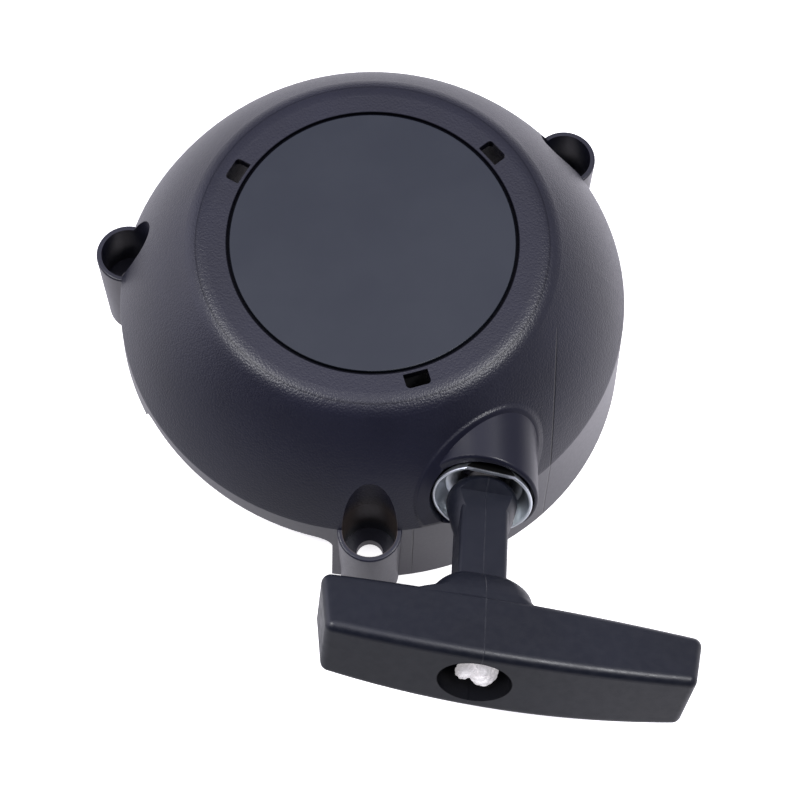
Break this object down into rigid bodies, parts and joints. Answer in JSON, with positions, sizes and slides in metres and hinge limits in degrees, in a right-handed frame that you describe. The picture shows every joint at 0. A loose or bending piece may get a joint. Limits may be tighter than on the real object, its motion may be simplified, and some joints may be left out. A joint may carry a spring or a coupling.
{
  "type": "recoil starter",
  "caption": "Pull-rope recoil starter: domed black plastic cover with screw lugs, metal rope eyelet, T-grip, spring-loaded rope pulley and swing-out pawls.",
  "frame": {"origin": "centre of the mounting plane (the foot of the skirt), on the crank axis", "axes": "+Z along the crank axis, away from the engine through the dome; the rope leaves towards -Y"},
  "size_m": [0.1762, 0.2085, 0.0793],
  "materials": {
    "cover_plastic": "fine moulded grain",
    "disc_plastic": "smooth satin",
    "grip_plastic": "satin, slightly soft",
    "zinc_steel": "bright zinc plate",
    "spring_steel": "oiled blue-grey strip",
    "dark_steel": "plain zinc plate",
    "brass": "turned",
    "pulley_nylon": "moulded nylon",
    "cassette_nylon": "moulded nylon",
    "pawl_nylon": "natural acetal",
    "rope": "braided white nylon"
  },
  "bodies": {
    "cover": {"starter_housing": "cover_plastic", "centre_disc": "disc_plastic", "rope_eyelet": "zinc_steel", "rope_run": "rope", "recoil_spring": "spring_steel", "spring_case": "cassette_nylon", "spring_cover": "cassette_nylon", "hub_insert": "brass", "centre_screw": "dark_steel", "thrust_washer": "dark_steel", "brake_spring": "spring_steel"},
    "pulley": {"rope_pulley": "pulley_nylon", "rope_winding": "rope", "pulley_knot": "rope", "pawl_springs": "spring_steel"},
    "plate": {"guide_plate": "dark_steel"},
    "leading_pawl": {"leading_pawl": "pawl_nylon"},
    "trailing_pawl": {"trailing_pawl": "pawl_nylon"},
    "rope_end": {"rope_lead": "rope", "grip_knot": "rope"},
    "grip": {"pull_handle": "grip_plastic"}
  },
  "joints": [
    {"name": "handle_pull", "type": "slide", "parent": "cover", "child": "rope_end", "axis": [-0.0332, -0.9505, 0.309], "range_m": [0, 0.59]},
    {"name": "handle_twist", "type": "hinge", "parent": "rope_end", "child": "grip", "pos_m": [0.033, -0.0685, 0.0457], "axis": [-0.0332, -0.9505, 0.309], "range_deg": [-90, 90]},
    {"name": "pulley_spin", "type": "hinge", "parent": "cover", "child": "pulley", "pos_m": [0, 0, 0], "axis": [0, 0, 1], "range_deg": [-1440, 0], "deforming": ["recoil_spring"]},
    {"name": "plate_lag", "type": "hinge", "parent": "pulley", "child": "plate", "pos_m": [0, 0, 0], "axis": [0, 0, 1], "range_deg": [0, 30]},
    {"name": "leading_pawl_swing", "type": "hinge", "parent": "pulley", "child": "leading_pawl", "pos_m": [0, 0.022, 0], "axis": [0, 0, 1], "range_deg": [0, 26]},
    {"name": "trailing_pawl_swing", "type": "hinge", "parent": "pulley", "child": "trailing_pawl", "pos_m": [0, -0.022, 0], "axis": [0, 0, 1], "range_deg": [0, 26]}
  ],
  "couplings": [
    {"joint": "pulley_spin", "follows": "handle_pull", "rad_per_m": -42.373},
    {"joint": "leading_pawl_swing", "follows": "plate_lag", "ratio": 0.8666},
    {"joint": "trailing_pawl_swing", "follows": "plate_lag", "ratio": 0.8666}
  ]
}
